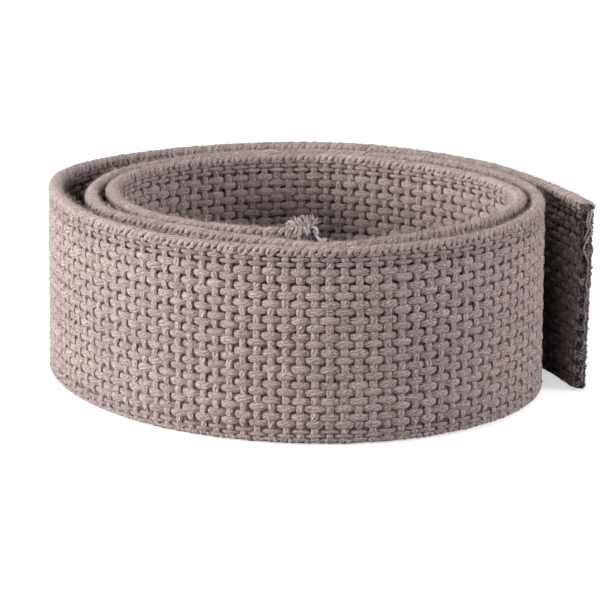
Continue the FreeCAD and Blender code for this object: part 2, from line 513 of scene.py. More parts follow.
def yarn_twist_group() -> bpy.types.NodeTree:
    """The plies of a twisted yarn: slanted ridges that run round it, with fibres lying along them."""
    inputs = {"Along": 0.0, "Around": 0.0, "Lay": 3.0, "Strands": 3.0, "Fibre Scale": 9.0}
    tree, sheet, given, result = new_group("yarn_twist", inputs, ("Ridge", "Fibre", "Cloud", "Grain"))
    along, around = given["Along"], given["Around"]
    turn = sheet.math("ADD", sheet.math("DIVIDE", along, given["Lay"]), around)
    wander = sheet.math("MULTIPLY", sheet.noise("1D", W=along, Scale=0.9, Detail=1.0), 0.35)
    wound = sheet.math("MULTIPLY", sheet.math("ADD", turn, wander), given["Strands"])
    ridge = sheet.spread(sheet.math("SINE", sheet.math("MULTIPLY", wound, math.tau)), -1.0, 1.0, 0.0, 1.0)
    place = sheet.point(sheet.math("MULTIPLY", along, 0.11), sheet.math("MULTIPLY", turn, 1.5))
    fibre = sheet.noise("3D", Vector=place, Scale=given["Fibre Scale"], Detail=5.0, Roughness=0.78,
                        Distortion=0.6)
    cloud = sheet.noise("3D", Vector=place, Scale=0.55, Detail=2.0)
    spot = sheet.point(along, sheet.math("MULTIPLY", around, 6.0), 1.7)
    grain = sheet.noise("3D", Vector=spot, Scale=2.4, Detail=3.0, Roughness=0.7)
    sheet.feed(result, Ridge=ridge, Fibre=fibre, Cloud=cloud, Grain=grain)
    return tree


def husk_fleck_group() -> bpy.types.NodeTree:
    """Rare specks of seed husk that stay in unbleached cotton."""
    inputs = {"Along": 0.0, "Around": 0.0, "Rarity": 0.74}
    tree, sheet, given, result = new_group("husk_fleck", inputs, ("Mask",))
    place = sheet.point(given["Along"], sheet.math("MULTIPLY", given["Around"], 6.0), 4.4)
    over = sheet.math("SUBTRACT", sheet.noise("3D", Vector=place, Scale=1.15, Detail=1.0), given["Rarity"])
    sheet.feed(result, Mask=sheet.spread(over, 0.0, 0.05, 0.0, 1.0))
    return tree


@dataclass(frozen=True)
class YarnFinish:
    """A cotton yarn's colours and surface."""

    name: str
    light: tuple
    dark: tuple
    # deep: painted shade, the dark colour that points low in the weave are mixed towards.
    deep: tuple
    lay: float = 3.0
    strands: float = 3.0
    fibre_scale: float = 9.0
    bump: float = 0.46
    sheen: float = 0.25
    fleck: float = 0.0
    fleck_colour: tuple = (0.34, 0.15, 0.06)
    sheen_tint: tuple = (0.95, 0.88, 0.84)

    def build(self, groups: dict[str, bpy.types.NodeTree]) -> bpy.types.Material:
        """Make the material.

        Args:
            groups: The shared node groups by name.

        Returns:
            The material, coloured by its fibres and its twist, with painted shade where it lies low in the
            weave.
        """
        material, sheet, shader = new_material(self.name)
        colours = (self.light, self.dark, self.deep, self.fleck_colour, self.sheen_tint)
        light, dark, deep, fleck_colour, sheen_tint = ((*colour, 1.0) for colour in colours)
        uv = sheet.node("ShaderNodeUVMap", uv_map="yarn").outputs[0]
        along, around = sheet.feed(sheet.node("ShaderNodeSeparateXYZ"), i0=uv).outputs[:2]
        twist = sheet.node("ShaderNodeGroup", node_tree=groups["yarn_twist"])
        sheet.feed(twist, Along=along, Around=around, Lay=self.lay, Strands=self.strands,
                   Fibre_Scale=self.fibre_scale)
        ridge, fibre, cloud, grain = (twist.outputs[name] for name in ("Ridge", "Fibre", "Cloud", "Grain"))
        shade = sheet.node("ShaderNodeAttribute", attribute_name="shade").outputs["Fac"]
        # A point attribute tells how high each point stands in the weave, for the painted shade below.
        painted_shade_lift = sheet.node("ShaderNodeAttribute", attribute_name="painted_shade_lift").outputs["Fac"]
        streak = sheet.spread(fibre, 0.38, 0.62, -0.52, 0.50)
        rope = sheet.spread(ridge, 0.0, 0.6, -0.26, 0.08)
        tone = sheet.add(streak, rope, sheet.add(shade, 0.52), sheet.spread(cloud, 0.3, 0.7, -0.10, 0.10),
                         sheet.spread(grain, 0.36, 0.64, -0.36, 0.36))
        colour = sheet.mix(sheet.spread(tone, 0.0, 1.0, 0.0, 1.0), dark, light)
        # Painted shade: points low in the weave are mixed towards the deep colour, in place of the shade in
        # the hollows between yarns.
        colour = sheet.mix(sheet.spread(painted_shade_lift, 0.0, 0.55, 0.9, 0.0), colour, deep)
        if self.fleck:
            speck = sheet.node("ShaderNodeGroup", node_tree=groups["husk_fleck"])
            sheet.feed(speck, Along=along, Around=around, Rarity=self.fleck)
            colour = sheet.mix(speck.outputs["Mask"], colour, fleck_colour)
        height = sheet.add(*(sheet.math("MULTIPLY", relief, share)
                             for relief, share in ((ridge, 0.55), (fibre, 0.8), (grain, 0.8))))
        bump = sheet.node("ShaderNodeBump")
        sheet.feed(bump, Strength=0.9, Distance=self.bump * MM, Height=height)
        sheet.feed(shader, Base_Color=colour, Normal=bump.outputs[0], Specular_IOR_Level=0.18,
                   Roughness=sheet.spread(fibre, 0.3, 0.7, 0.80, 0.98), Sheen_Weight=self.sheen,
                   Sheen_Roughness=0.55, Sheen_Tint=sheen_tint)
        return material


@dataclass(frozen=True)
class FloorFinish:
    """Plain pale studio floor."""

    name: str = "studio_floor"
    colour: tuple = (0.93, 0.93, 0.93, 1.0)
    bounce: tuple = (0.09, 0.09, 0.09, 1.0)
    glow: float = 0.55

    def build(self) -> bpy.types.Material:
        """Make the material, a matt white with the faintest unevenness."""
        material, sheet, shader = new_material(self.name)
        noise = sheet.noise("3D", Scale=12.0)
        seen = sheet.node("ShaderNodeLightPath").outputs["Is Camera Ray"]
        colour = sheet.mix(seen, self.bounce, self.colour)
        colour = sheet.mix(sheet.spread(noise, 0.3, 0.7, 0.0, 0.02), colour, (0.9, 0.9, 0.9, 1.0))
        sheet.feed(shader, Base_Color=colour, Roughness=sheet.spread(noise, 0.3, 0.7, 0.85, 0.95),
                   Emission_Strength=sheet.math("MULTIPLY", seen, self.glow), Emission_Color=WHITE)
        return material


@dataclass
class Finishes:
    """Every finish on the belt, built once."""

    groups: dict = field(default_factory=dict)
    made: dict = field(default_factory=dict)

    def build(self) -> None:
        """Make the node groups and then the materials."""
        self.groups = {"yarn_twist": yarn_twist_group(), "husk_fleck": husk_fleck_group()}
        # Each deep colour below is painted shade for the hollows of the weave.
        taupe = dict(light=(0.640, 0.510, 0.492), dark=(0.235, 0.174, 0.166),
                     deep=(0.140, 0.107, 0.099))
        weft = dict(taupe, light=(0.610, 0.485, 0.468))
        finishes = (
            YarnFinish("taupe_warp", lay=24.0, strands=8.0, fleck=0.745, **taupe),
            YarnFinish("taupe_weft", lay=18.0, strands=6.0, fleck=0.76, **weft),
            YarnFinish("taupe_edge_loop", lay=9.0, strands=6.0, bump=0.2, fleck=0.735,
                       light=(0.560, 0.450, 0.435), dark=(0.230, 0.172, 0.163),
                       deep=(0.100, 0.076, 0.070)),
            YarnFinish("shadowed_filling", light=(0.190, 0.155, 0.145), dark=(0.080, 0.064, 0.059),
                       deep=(0.100, 0.080, 0.074), lay=9.0, strands=9.0, sheen=0.05),
            YarnFinish("brown_filling", light=(0.760, 0.600, 0.565), dark=(0.230, 0.170, 0.158),
                       deep=(0.060, 0.048, 0.045), lay=2.0, strands=3.0, sheen=0.1),
            YarnFinish("navy_stuffer", light=(0.200, 0.210, 0.400), dark=(0.040, 0.038, 0.120),
                       deep=(0.020, 0.019, 0.024), lay=5.0, sheen=0.1),
            # Pale blue fibres at the cord ends are painted highlights, standing in for glints on the navy.
            YarnFinish("painted_glint_fibre", light=(0.55, 0.66, 0.78), dark=(0.18, 0.26, 0.42),
                       deep=(0.10, 0.14, 0.26), lay=1.2),
            YarnFinish("pale_loose_yarn", light=(0.93, 0.80, 0.77), dark=(0.47, 0.37, 0.35),
                       deep=(0.24, 0.18, 0.16), lay=1.6, strands=2.0),
            YarnFinish("cotton_nap", light=(0.66, 0.57, 0.53), dark=(0.44, 0.36, 0.33),
                       deep=(0.40, 0.33, 0.30), lay=1.5, bump=0.02, sheen=0.1),
        )
        for finish in finishes:
            self.made[finish.name] = finish.build(self.groups)

    def pick(self, *names: str) -> list[bpy.types.Material]:
        """The materials of these names, in order."""
        return [self.made[name] for name in names]


# ---- the weave ----------------------------------------------------------------------------------
@dataclass
class Weave:
    """Plain weave on both faces of the webbing, its yarns drawn one by one."""

    path: RollPath
    rng: np.random.Generator
    width: float = WEBBING_WIDTH
    columns: int = 273
    regular_pairs: int = 10
    pair_pitch: float = 4.07
    pair_gap: float = 1.72
    lower_margin: float = 3.95
    fine_rows: int = 3
    fine_setback: float = 0.84
    lower_fine_pitch: float = 0.95
    upper_fine_pitch: float = 1.16
    warp_half_height: float = 1.08
    fine_half_height: float = 0.60
    fine_limit: float = 0.8
    warp_half_depth: float = 0.52
    warp_crown: float = 1.40
    warp_dip: float = 0.70
    weft_half_width: float = 1.08
    weft_half_depth: float = 0.42
    weft_crown: float = 1.36
    weft_dip: float = 0.72
    steps: int = 6
    rows: Array = field(init=False)
    half_heights: Array = field(init=False)
    jitter: dict = field(init=False)

    def __post_init__(self) -> None:
        """Work out the rows of warp and the small unevenness of each crossing."""
        low = self.lower_margin
        high = low + self.regular_pairs * self.pair_pitch
        heights = []
        for index in range(self.fine_rows):
            below = low - self.fine_setback - index * self.lower_fine_pitch
            above = high + self.fine_setback + index * self.upper_fine_pitch
            heights += [(below, self.fine_half_height * 0.9), (above, self.fine_half_height)]
        for pair in range(self.regular_pairs):
            middle = low + (pair + 0.5) * self.pair_pitch
            heights += [(middle + half * self.pair_gap, self.warp_half_height) for half in (-0.5, 0.5)]
        heights.sort()
        self.rows, self.half_heights = np.array(heights).T
        shape = (6, len(self.rows), self.columns + 2)
        self.jitter = {face: self.rng.normal(0.0, 1.0, shape) for face in Face}

    @property
    def pitch(self) -> float:
        """Distance from one weft to the next."""
        return self.path.length / self.columns

    def uneven(self, face: Face, kind: int, row: Array, column: Array) -> Array:
        """Smoothly interpolated unevenness at fractional columns of whole rows."""
        table = self.jitter[face][kind]
        column = np.clip(column + 0.5, 0, self.columns)
        low = np.floor(column).astype(int)
        part = column - low
        part = part * part * (3 - 2 * part)
        return table[row, low] * (1 - part) + table[row, low + 1] * part

    def over(self, phase: Array, bias: float) -> Array:
        """Height of a yarn between its dips at -1 and its crowns at +1, for a phase in half turns."""
        wave = (np.cos(math.pi * phase) + bias) * 1.25
        return np.clip(wave - 0.148 * np.clip(wave, -1.5, 1.5) ** 3, -1.0, 1.0)

    def warps(self, sheaf: Sheaf, span: Span, face: Face) -> None:
        """Add the warp yarns of one face over a span.

        Args:
            sheaf: The mesh to add to.
            span: First and last weft column.
            face: Which ply.
        """
        count = len(self.rows)
        column = np.arange(span.first * self.steps, span.last * self.steps + 1) / self.steps
        rows = np.arange(count)[:, None]
        grid = np.broadcast_to(column, (count, len(column)))
        height = self.over(grid - 0.5 + rows + (face is Face.INNER), 0.22)
        lift = 0.5 + 0.5 * height
        ends = np.minimum(1.0, np.minimum(grid, self.columns - grid) / 0.5)
        along = grid * self.pitch + 0.10 * self.uneven(face, 0, rows, grid)
        across = self.warp_dip + (self.warp_crown - self.warp_dip) * lift
        across = across * (0.93 + 0.07 * ends) + 0.030 * self.uneven(face, 1, rows, grid)
        up = self.rows[:, None] + 0.075 * self.uneven(face, 2, rows, grid)
        swell = 1.0 + 0.07 * self.uneven(face, 3, rows, grid)
        half_height = self.half_heights[:, None] * (0.52 + 0.48 * lift ** 0.8) * swell
        thinner = np.where(self.half_heights[:, None] < self.fine_limit, 0.88, 1.0)
        half_depth = self.warp_half_depth * (0.85 + 0.15 * lift) * swell * thinner
        points = self.path.carry(along, across * face.value, up)
        out = self.path.out_vectors(along) * face.value
        shade = 0.06 * self.uneven(face, 4, rows, grid) + 0.05 * self.jitter[face][5][:, :1]
        # Painted shade: the warp's dips are given a low height, which the material darkens.
        sheaf.add(points, upright(points), out, half_height, half_depth, YARN_ROUND, 7, shade,
                  0.15 + 0.85 * lift, 0, along, 0.075)

    def wefts(self, sheaf: Sheaf, span: Span, face: Face) -> None:
        """Add the weft yarns of one face over a span.

        Args:
            sheaf: The mesh to add to.
            span: First and last weft column.
            face: Which ply.
        """
        column = np.arange(span.first, span.last)
        count = len(self.rows)
        places = np.linspace(-0.45, count - 0.55, count * 4 + 1)
        height = np.interp(places, np.arange(count), self.rows)
        height[0], height[-1] = self.rows[0] - 0.5, self.rows[-1] + 0.5
        nearest = np.clip(np.round(places), 0, count - 1).astype(int)
        grid = places[None, :] + column[:, None] + 1 + (face is Face.INNER)
        lift = 0.5 + 0.5 * self.over(grid, 0.12)
        drift = 0.09 * self.uneven(face, 0, nearest[None, :], column[:, None] + 0.0)
        along = (column[:, None] + 0.5) * self.pitch + drift
        across = self.weft_dip + (self.weft_crown - self.weft_dip) * lift
        half = np.interp(places, np.arange(count), self.half_heights)
        wide = self.weft_half_width * (0.84 + 0.16 * lift) * np.where(half < self.fine_limit, 0.92, 1.0)
        up = np.broadcast_to(height, along.shape)
        points = self.path.carry(along, across * face.value, up)
        side = self.path.forward_vectors(along)
        out = self.path.out_vectors(along) * face.value
        depth = np.full(along.shape, self.weft_half_depth)
        shade = 0.06 * self.uneven(face, 5, nearest[None, :], column[:, None] + 0.0)
        # Painted shade: the weft's dips are given a low height, which the material darkens.
        sheaf.add(points, side, out, wide, depth, YARN_ROUND, 5, shade, 0.12 + 0.85 * lift, 1, up, 0.07)


@dataclass
class EdgeRope:
    """The weft turning over an edge, loop by loop, like a twisted rope."""

    weave: Weave
    rng: np.random.Generator
    loop_half_width: float = 0.90
    loop_half_depth: float = 0.48
    slant: float = 1.7
    roundness: float = 0.95
    top_foot: float = 1.75
    bottom_foot: float = 1.20
    points_round: int = 11

    def loops(self, sheaf: Sheaf, span: Span, edge: Edge) -> None:
        """Add the loops of one edge over a span.

        Args:
            sheaf: The mesh to add to.
            span: First and last weft column.
            edge: Which edge.
        """
        path = self.weave.path
        index = np.arange(span.first * 2, span.last * 2)
        spot = self.rng.normal(0.0, 1.0, (4, len(index), 1))
        angle = np.linspace(-0.10, 1.10, self.points_round)[None, :] * math.pi
        middle = (index[:, None] + 0.5) / 2 * self.weave.pitch + 0.10 * spot[0]
        along = middle - self.slant * np.cos(angle) * (1 + 0.08 * spot[1])
        along = np.clip(along, -0.3, path.length + 0.3)
        reach = path.thickness / 2 - self.loop_half_depth + 0.06 + 0.03 * spot[2]
        foot = self.top_foot if edge is Edge.TOP else self.bottom_foot
        rise = foot - self.loop_half_depth - 0.15 + 0.07 * spot[3]
        across, lifted = (size * np.sign(wave) * np.abs(wave) ** self.roundness
                          for size, wave in ((reach, np.cos(angle)), (rise, np.sin(angle))))
        up = self.weave.width - foot + lifted
        if edge is Edge.BOTTOM:
            up = self.weave.width - up
        points = path.carry(along, across, up)
        tangent = unit(np.gradient(points, axis=1))
        out = path.out_vectors(along) * (across / reach)[..., None]
        out[..., 2] = (lifted / rise) * edge.value
        out -= tangent * np.sum(out * tangent, axis=-1, keepdims=True)
        out = unit(out)
        side = np.cross(tangent, out)
        bulge = np.sin(np.clip(angle, 0, math.pi))
        wide = self.loop_half_width * (0.72 + 0.28 * bulge) + np.zeros_like(along)
        deep = self.loop_half_depth * (0.85 + 0.15 * bulge) + np.zeros_like(along)
        wide *= np.where(index[:, None] % 2 == 0, 1.06, 0.90)
        shade = 0.07 * spot[0] + 0.04 * spot[3] + np.zeros_like(along)
        # Painted shade: the loops' ends, where they go into the weave, get a low height, which the material
        # darkens.
        painted_shade_lift = 0.45 + 0.55 * bulge + np.zeros_like(along)
        sheaf.add(points, side, out, wide, deep, LOOP_ROUND, 6, shade, painted_shade_lift, 0, lumps=0.08)


@dataclass
class StufferCore:
    """The thick cords that lie between the two plies, and the shadowed filling round them."""

    path: RollPath
    heights: Array
    radius: float = 0.85
    step: float = 1.9

    def cords(self, sheaf: Sheaf, first: float, last: float) -> None:
        """Add the cords over a stretch.

        Args:
            sheaf: The mesh to add to.
            first: Where it starts.
            last: Where it ends.
        """
        count = max(4, int((last - first) / self.step))
        along = np.broadcast_to(np.linspace(first, last, count), (len(self.heights), count))
        up = np.broadcast_to(self.heights[:, None], along.shape)
        points = self.path.carry(along, np.zeros_like(along), up)
        out = self.path.out_vectors(along)
        size = np.full(along.shape, self.radius)
        # Painted shade: the cords lie inside the weave and get a low height, so their colour is mostly the
        # dark deep colour.
        sheaf.add(points, upright(points), out, size, size, WHOLE_ROUND, 8, np.zeros_like(along),
                  np.full(along.shape, 0.2), 0, along)

    def filling(self, sheaf: Sheaf, first: float, last: float, low: float, high: float) -> None:
        """Add the thin dark sheet behind the weave, so that no light comes through it; its dark colour is
        painted shade.

        Args:
            sheaf: The mesh to add to.
            first: Where it starts.
            last: Where it ends.
            low: Its lower edge.
            high: Its upper edge.
        """
        count = max(4, int((last - first) / self.step))
        along = np.broadcast_to(np.linspace(first, last, count), (2, count))
        across = np.array([[-1.0], [1.0]]) * (self.radius + 0.18) + np.zeros_like(along)
        points = self.path.carry(along, across, np.full(along.shape, (low + high) / 2))
        out = self.path.out_vectors(along)
        tall = np.full(along.shape, (high - low) / 2)
        sheaf.add(points, upright(points), out, tall, np.full(along.shape, 0.05), HALF_ROUND, 2,
                  np.full(along.shape, -0.1), np.full(along.shape, 0.5), 1, along)


@dataclass
class LooseThreads(Chance):
    """Free threads and fibres: the nap, the frayed tuft and the sprung weft."""

    path: RollPath
    rng: np.random.Generator
    face_fibres_per_mm: int = 26
    edge_fibres_per_mm: int = 34
    top_edge_share: float = 0.80
    face_depth: float = 1.74
    edge_depth: float = 1.75
    edge_rise: float = 1.55
    edge_radius: float = 1.65

    def thread(self, sheaf: Sheaf, spots: Sequence[tuple], origin: tuple, radius: float, slot: int,
               taper: float = 0.35, shade: float = 0.1, points: int = 18) -> None:
        """Add one thread through a few spots, smoothly.

        Args:
            sheaf: The mesh to add to.
            spots: (along, across, up) of each spot, from the origin.
            origin: (along, across, up) that they count from.
            radius: Half of its thickness.
            slot: Material slot.
            taper: Thickness left at its far end.
            shade: Lightness.
            points: Points along it.
        """
        knots = np.array(spots, dtype=float) + np.array(origin)
        at = np.linspace(0.0, len(knots) - 1.0, points)
        smooth = self.smooth(knots, at)
        path = self.path.carry(smooth[:, 0], smooth[:, 1], smooth[:, 2])[None]
        tangent = unit(np.gradient(path, axis=1))
        side = unit(np.cross(tangent, np.array([0.31, 0.52, 0.79])))
        out = np.cross(side, tangent)
        thin = radius * np.linspace(1.0, taper, points)[None]
        thin[:, -1] *= 0.3
        thin[:, 0] *= 0.5
        sheaf.add(path, side, out, thin, thin, WHOLE_ROUND, 6, np.full(thin.shape, shade),
                  np.full(thin.shape, 1.0), slot)

    def bundle(self, sheaf: Sheaf, spots: Sequence[tuple], origin: tuple, radius: float, strands: int,
               taper: float, points: int) -> None:
        """Add a soft yarn as a few strands that lie beside one another.

        Args:
            sheaf: The mesh to add to.
            spots: (along, across, up) of each spot, from the origin.
            origin: (along, across, up) that they count from.
            radius: Half of the yarn's thickness.
            strands: How many.
            taper: Thickness left at its far end.
            points: Points along it.
        """
        for _ in range(strands):
            beside = self.rng.normal(0.0, radius * 0.42, (1, 3))
            spread = beside + self.rng.normal(0.0, radius * 0.2, (len(spots), 3))
            self.thread(sheaf, np.array(spots) + spread, origin, radius * self.even(0.35, 0.6), 0,
                        taper, self.even(-0.1, 0.45), points)

    @staticmethod
    def smooth(knots: Array, at: Array) -> Array:
        """Points of a Catmull-Rom curve through the knots.

        Args:
            knots: The spots that it goes through.
            at: Places on it, counted in knots.

        Returns:
            One point for each place.
        """
        padded = np.concatenate([2 * knots[:1] - knots[1:2], knots, 2 * knots[-1:] - knots[-2:-1]])
        index = np.clip(np.floor(at).astype(int), 0, len(knots) - 2)
        part = (at - index)[:, None]
        before, here, there, beyond = (padded[index + shift] for shift in range(4))
        return 0.5 * (2 * here + (there - before) * part + (2 * before - 5 * here + 4 * there - beyond)
                      * part ** 2 + (3 * here - before - 3 * there + beyond) * part ** 3)

    def fibres(self, sheaf: Sheaf, root: Array, lean: Array, length: Array, radius: Array,
               shade: Array, slot: int = 0, points: int = 4) -> None:
        """Add many short curved fibres at once.

        Args:
            sheaf: The mesh to add to.
            root: Where each starts, in the frame's axes.
            lean: Unit vector that each starts along.
            length: Each one's length.
            radius: Each one's half thickness.
            shade: Lightness of each.
            slot: Material slot.
            points: Points along each.
        """
        count = len(root)
        bend = self.rng.normal(0.0, 0.75, (count, 1, 3))
        at = np.linspace(0.0, 1.0, points)[None, :, None]
        run = lean[:, None] * at + bend * at ** 2 * 0.6
        path = root[:, None] + run * length[:, None, None]
        tangent = unit(np.gradient(path, axis=1), 1e-9)
        side = unit(np.cross(tangent, np.array([0.37, 0.61, 0.70])), 1e-9)
        out = np.cross(side, tangent)
        thin = radius[:, None] * np.linspace(1.0, 0.35, points)[None]
        sheaf.add(path, side, out, thin, thin, HALF_ROUND, 1, np.broadcast_to(shade[:, None], thin.shape),
                  np.full(thin.shape, 1.0), slot)

    def nap(self, sheaf: Sheaf, first: float, last: float, width: float) -> None:
        """Add the short fibres that stand off both faces and the edges of a stretch.

        Args:
            sheaf: The mesh to add to.
            first: Where it starts.
            last: Where it ends.
            width: Width of the webbing.
        """
        faces = int((last - first) * self.face_fibres_per_mm)
        edges = int((last - first) * self.edge_fibres_per_mm)
        along = self.rng.uniform(first, last, faces + edges)
        sign = self.rng.choice([-1.0, 1.0], faces + edges)
        across = self.face_depth * sign
        up = self.rng.uniform(1.0, width - 1.0, faces + edges)
        turn = self.rng.uniform(0.05, 0.95, edges) * math.pi
        across[faces:] = self.edge_depth * np.cos(turn)
        rim = self.edge_rise * np.sin(turn)
        top = self.rng.random(edges) < self.top_edge_share
        up[faces:] = np.where(top, width - self.edge_radius + rim, self.edge_radius - rim)
        root = self.path.carry(along, across, up)
        outward = self.path.out_vectors(along)
        forward = self.path.forward_vectors(along)
        lean = outward * sign[:, None] * 0.30 + self.rng.normal(0.0, 0.6, (len(along), 3))
        normal = outward[faces:] * np.cos(turn)[:, None]
        normal[:, 2] += np.where(top, 1.0, -1.0) * np.sin(turn)
        lying = self.rng.normal(0.0, 1.0, (edges, 1)) * forward[faces:]
        lying += self.rng.normal(0.0, 0.5, (edges, 3))
        lean[faces:] = lying + normal * self.rng.uniform(0.05, 0.7, (edges, 1))
        lean = unit(lean)
        lean[:, 2] = np.where(root[:, 2] < 2.5, np.maximum(lean[:, 2], 0.05), lean[:, 2])
        size = self.rng.uniform(0.5, 1.3, len(along))
        self.fibres(sheaf, root, lean, size, self.rng.uniform(0.022, 0.045, len(along)),
                    self.rng.uniform(-0.2, 0.3, len(along)))


@dataclass
class CutEnd(Chance):
    """What shows at a cut end: the stubs of the warp, the stuffer cords and the last wefts."""

    path: RollPath
    weave: Weave
    threads: LooseThreads
    rng: np.random.Generator
    at_start: bool
    cord_shift: float = -0.55
    cord_spread: float = 1.1
    cap_columns: int = 64
    fibre_count: int = 3000
    fibres_per_cord: int = 42
    brush_radius: float = 1.10
    painted_glint_share: float = 0.26

    def position(self, distance: float | Array) -> float | Array:
        """Place along the webbing this far outside the cut."""
        return -distance if self.at_start else self.path.length + distance

    def away_vectors(self, along: Array) -> Array:
        """Unit vectors out of the cut."""
        return self.path.forward_vectors(along) * (-1.0 if self.at_start else 1.0)

    def spread_cords(self, heights: Array) -> Array:
        """Heights of the cords where they splay at the cut."""
        return (heights - self.weave.width / 2) * self.cord_spread + self.weave.width / 2

    def stub(self, sheaf: Sheaf, spots: Sequence[tuple], across: float, up: float, radius: float, slot: int,
             taper: float, shade: float, points: int) -> None:
        """Add a thread that stands out of the cut, its spots counted outwards.

        Args:
            sheaf: The mesh to add to.
            spots: (outwards, across, up) of each spot.
            across: Place across the webbing.
            up: Height.
            radius: Half of its thickness.
            slot: Material slot.
            taper: Thickness left at its far end.
            shade: Lightness.
            points: Points along it.
        """
        cut = self.position(0.0)
        turned = [(self.position(out) - cut, *rest) for out, *rest in spots]
        self.threads.thread(sheaf, turned, (cut, across, up), radius, slot, taper, shade, points)

    def stubs(self, sheaf: Sheaf) -> None:
        """Add the cut tips of the warp yarns, short and frayed, and the edge yarns' tips."""
        for face in Face:
            for row, half in zip(self.weave.rows, self.weave.half_heights):
                for _ in range(7 if half > self.weave.fine_limit else 4):
                    lift = self.even(-0.75, 0.75) * half
                    across = face.value * self.even(1.05, 1.75)
                    reach = self.even(0.10, 0.50)
                    spots = ((-1.0, 0, 0), (0.0, 0.02, 0.02), (reach, self.near(0, 0.18), self.near(0, 0.2)))
                    self.stub(sheaf, spots, across, row + lift, self.even(0.14, 0.26), 0, 0.5,
                              self.even(-0.15, 0.15), 6)

    def packed_fibres(self, sheaf: Sheaf, heights_of_cords: Array) -> None:
        """Add the cut fibres that fill the space between the plies and round the cords.

        Args:
            sheaf: The mesh to add to.
            heights_of_cords: Heights of the cords, which they leave bare.
        """
        heights = np.linspace(0.9, self.weave.width - 0.9, self.cap_columns)[None]
        along = np.full(heights.shape, self.position(0.05))
        points = self.path.carry(along, np.zeros_like(heights), heights)
        wide = 1.62 + 0.08 * self.rng.normal(0.0, 1.0, heights.shape)
        wide[:, [0, -1]] = 1.0
        sheaf.add(points, self.path.out_vectors(along), self.away_vectors(along), wide,
                  np.full(heights.shape, 0.12), HALF_ROUND, 6, np.full(heights.shape, -0.1),
                  np.full(heights.shape, 1.0), 2, heights, 0.2)
        count = self.fibre_count
        across = self.rng.uniform(-1.6, 1.6, count)
        up = self.rng.uniform(1.0, self.weave.width - 1.0, count)
        along = np.full(count, self.position(0.15))
        root = self.path.carry(along, across, up)
        away = self.away_vectors(along)
        lean = unit(away * self.rng.uniform(0.1, 0.9, (count, 1)) + self.rng.normal(0.0, 0.6, (count, 3)))
        near = np.abs(up[:, None] - self.spread_cords(heights_of_cords)[None, :]).min(axis=1)
        on_cord = np.hypot(across - self.cord_shift, near) < 1.0
        root[on_cord] -= away[on_cord] * 0.9
        # Painted light and shade: fibres on the outer ply's side of the cut are made lighter and those on the
        # inner side darker, for how the light falls on them.
        shade = np.where(across > 0.4, 0.55, -0.05) + self.rng.uniform(-0.30, 0.30, count)
        self.threads.fibres(sheaf, root, lean, self.rng.uniform(0.3, 0.9, count),
                            self.rng.uniform(0.05, 0.11, count), shade, 2)

    def crimped_weft(self, sheaf: Sheaf, face: Face, heights: Array) -> None:
        """Add the last weft, which waves round the cut cords.

        Args:
            sheaf: The mesh to add to.
            face: The ply that it belongs to.
            heights: Heights of the cords.
        """
        step = float(heights[1] - heights[0])
        middle, swing, scatter = (0.42, 0.34, 0.14) if face is Face.OUTER else (-1.50, -0.15, 0.10)
        spots = []
        up = 2.2
        while up < self.weave.width - 2.0:
            wave = math.cos(2 * math.pi * (up - heights[0]) / step)
            across = middle + swing * wave + self.near(0, scatter)
            out = 0.22 + 0.22 * math.cos(2 * math.pi * (up - heights[0]) / step * 0.5 + face.value)
            spots.append((self.position(out + self.near(0, 0.12)), across, up))
            up += step / 4 * self.even(0.8, 1.2)
        self.threads.thread(sheaf, spots, (0.0, 0.0, 0.0), 0.20, 1 if face is Face.OUTER else 2, 0.9, -0.05,
                            len(spots) * 3)

    def cord_ends(self, sheaf: Sheaf, heights: Array, stub: float) -> None:
        """Add the stuffer cords' cut ends as little brushes of navy fibres, some of them pale blue as painted
        highlights.

        Args:
            sheaf: The mesh to add to.
            heights: Heights of the cords.
            stub: How far they stand out.
        """
        for height in self.spread_cords(heights):
            wobble = self.near(0.0, 0.22)
            for _ in range(self.fibres_per_cord):
                turn = self.even(0, math.tau)
                spread = math.sqrt(float(self.rng.random())) * self.brush_radius
                across, up = spread * math.cos(turn) + self.cord_shift, spread * math.sin(turn) + wobble
                reach = stub * self.even(0.75, 1.05) * (1.0 - 0.25 * spread)
                # Painted highlight: a share of the fibres take the pale blue finish, standing in for glints
                # of light on the navy.
                pale = self.rng.random() < self.painted_glint_share
                spots = ((-1.2, 0, 0), (0.0, 0, 0), (reach, self.near(0, 0.14), self.near(0, 0.14)))
                self.stub(sheaf, spots, across, height + up, self.even(0.13, 0.22), int(pale), 0.55,
                          self.even(-0.2, 0.25), 7)


